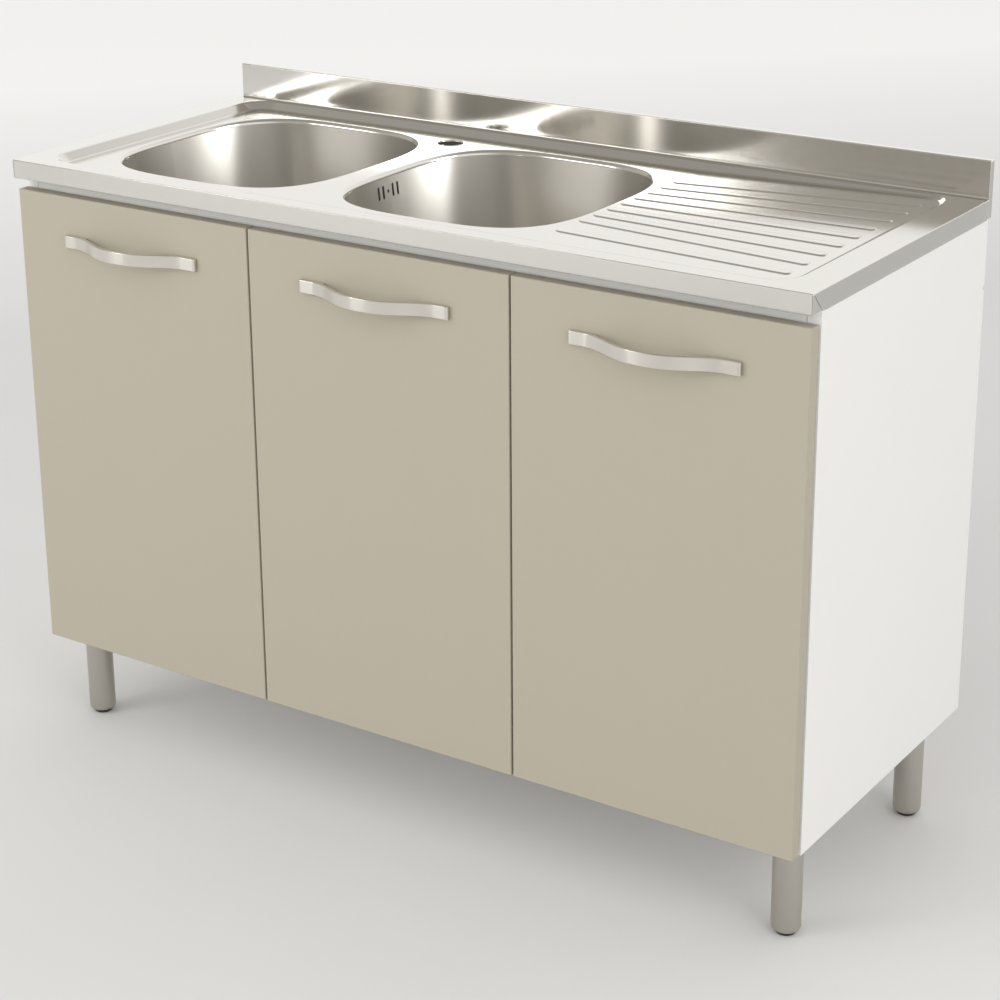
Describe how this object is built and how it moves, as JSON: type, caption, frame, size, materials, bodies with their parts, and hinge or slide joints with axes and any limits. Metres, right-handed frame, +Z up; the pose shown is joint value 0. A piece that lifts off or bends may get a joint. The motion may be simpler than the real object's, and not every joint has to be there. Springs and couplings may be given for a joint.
{
  "type": "kitchen sink unit",
  "caption": "Free-standing kitchen sink unit: pressed steel top with bowls and ribbed drainer on a hinged-door board carcass with adjustable metal legs.",
  "frame": {"origin": "centre of the bounding box's bottom face, on the floor between the four feet", "axes": "+X to the right seen from the front, +Y towards the wall behind the unit, +Z up; the doors face -Y"},
  "size_m": [1.2, 0.529, 0.89],
  "materials": {
    "deck_steel": "satin pressed stainless steel",
    "bowl_steel": "satin drawn stainless steel",
    "waste_metal": "polished stainless steel",
    "handle_metal": "satin nickel",
    "leg_metal": "satin nickel",
    "plated_steel": "nickel plated",
    "white_board": "white melamine faced board, satin",
    "door_board": "taupe laminated board, satin",
    "dark_plastic": "moulded, matt",
    "white_plastic": "moulded, matt"
  },
  "bodies": {
    "carcass": {"sink_deck": "deck_steel", "bowl_left": "bowl_steel", "bowl_right": "bowl_steel", "strainer_body_left": "waste_metal", "strainer_body_right": "waste_metal", "waste_nut_left": "white_plastic", "waste_nut_right": "white_plastic", "side_panel_left": "white_board", "side_panel_right": "white_board", "divider_panel": "white_board", "bottom_panel": "white_board", "front_rail": "white_board", "back_rail_upper": "white_board", "back_rail_lower": "white_board", "shelf": "white_board", "shelf_pin_left_front": "plated_steel", "shelf_pin_left_back": "plated_steel", "shelf_pin_right_front": "plated_steel", "shelf_pin_right_back": "plated_steel", "hinge_arm_left_upper": "plated_steel", "hinge_arm_left_lower": "plated_steel", "hinge_arm_middle_upper": "plated_steel", "hinge_arm_middle_lower": "plated_steel", "hinge_arm_right_upper": "plated_steel", "hinge_arm_right_lower": "plated_steel", "leg_front_left": "leg_metal", "leg_front_right": "leg_metal", "leg_back_left": "leg_metal", "leg_back_right": "leg_metal", "leg_plate_front_left": "dark_plastic", "leg_plate_front_right": "dark_plastic", "leg_plate_back_left": "dark_plastic", "leg_plate_back_right": "dark_plastic"},
    "left_door": {"door_left": "door_board", "handle_left": "handle_metal", "handle_screw_left_a": "plated_steel", "handle_screw_left_b": "plated_steel", "hinge_cup_left_upper": "plated_steel", "hinge_cup_left_lower": "plated_steel"},
    "middle_door": {"door_middle": "door_board", "handle_middle": "handle_metal", "handle_screw_middle_a": "plated_steel", "handle_screw_middle_b": "plated_steel", "hinge_cup_middle_upper": "plated_steel", "hinge_cup_middle_lower": "plated_steel"},
    "right_door": {"door_right": "door_board", "handle_right": "handle_metal", "handle_screw_right_a": "plated_steel", "handle_screw_right_b": "plated_steel", "hinge_cup_right_upper": "plated_steel", "hinge_cup_right_lower": "plated_steel"},
    "front_left_foot": {"foot_front_left": "dark_plastic"},
    "front_right_foot": {"foot_front_right": "dark_plastic"},
    "back_left_foot": {"foot_back_left": "dark_plastic"},
    "back_right_foot": {"foot_back_right": "dark_plastic"},
    "left_basket": {"basket_left": "waste_metal"},
    "right_basket": {"basket_right": "waste_metal"}
  },
  "joints": [
    {"name": "left_door_hinge", "type": "hinge", "parent": "carcass", "child": "left_door", "pos_m": [-0.589, -0.2265, 0.4675], "axis": [0, 0, -1], "range_deg": [0, 95]},
    {"name": "middle_door_hinge", "type": "hinge", "parent": "carcass", "child": "middle_door", "pos_m": [0.1905, -0.2265, 0.4675], "axis": [0, 0, 1], "range_deg": [0, 95]},
    {"name": "right_door_hinge", "type": "hinge", "parent": "carcass", "child": "right_door", "pos_m": [0.589, -0.2265, 0.4675], "axis": [0, 0, 1], "range_deg": [0, 95]},
    {"name": "front_left_foot_screw", "type": "slide", "parent": "carcass", "child": "front_left_foot", "axis": [0, 0, -1], "range_m": [0, 0.02]},
    {"name": "front_right_foot_screw", "type": "slide", "parent": "carcass", "child": "front_right_foot", "axis": [0, 0, -1], "range_m": [0, 0.02]},
    {"name": "back_left_foot_screw", "type": "slide", "parent": "carcass", "child": "back_left_foot", "axis": [0, 0, -1], "range_m": [0, 0.02]},
    {"name": "back_right_foot_screw", "type": "slide", "parent": "carcass", "child": "back_right_foot", "axis": [0, 0, -1], "range_m": [0, 0.02]},
    {"name": "left_basket_lift", "type": "slide", "parent": "carcass", "child": "left_basket", "axis": [0, 0, 1], "range_m": [0, 0.2]},
    {"name": "right_basket_lift", "type": "slide", "parent": "carcass", "child": "right_basket", "axis": [0, 0, 1], "range_m": [0, 0.2]}
  ]
}
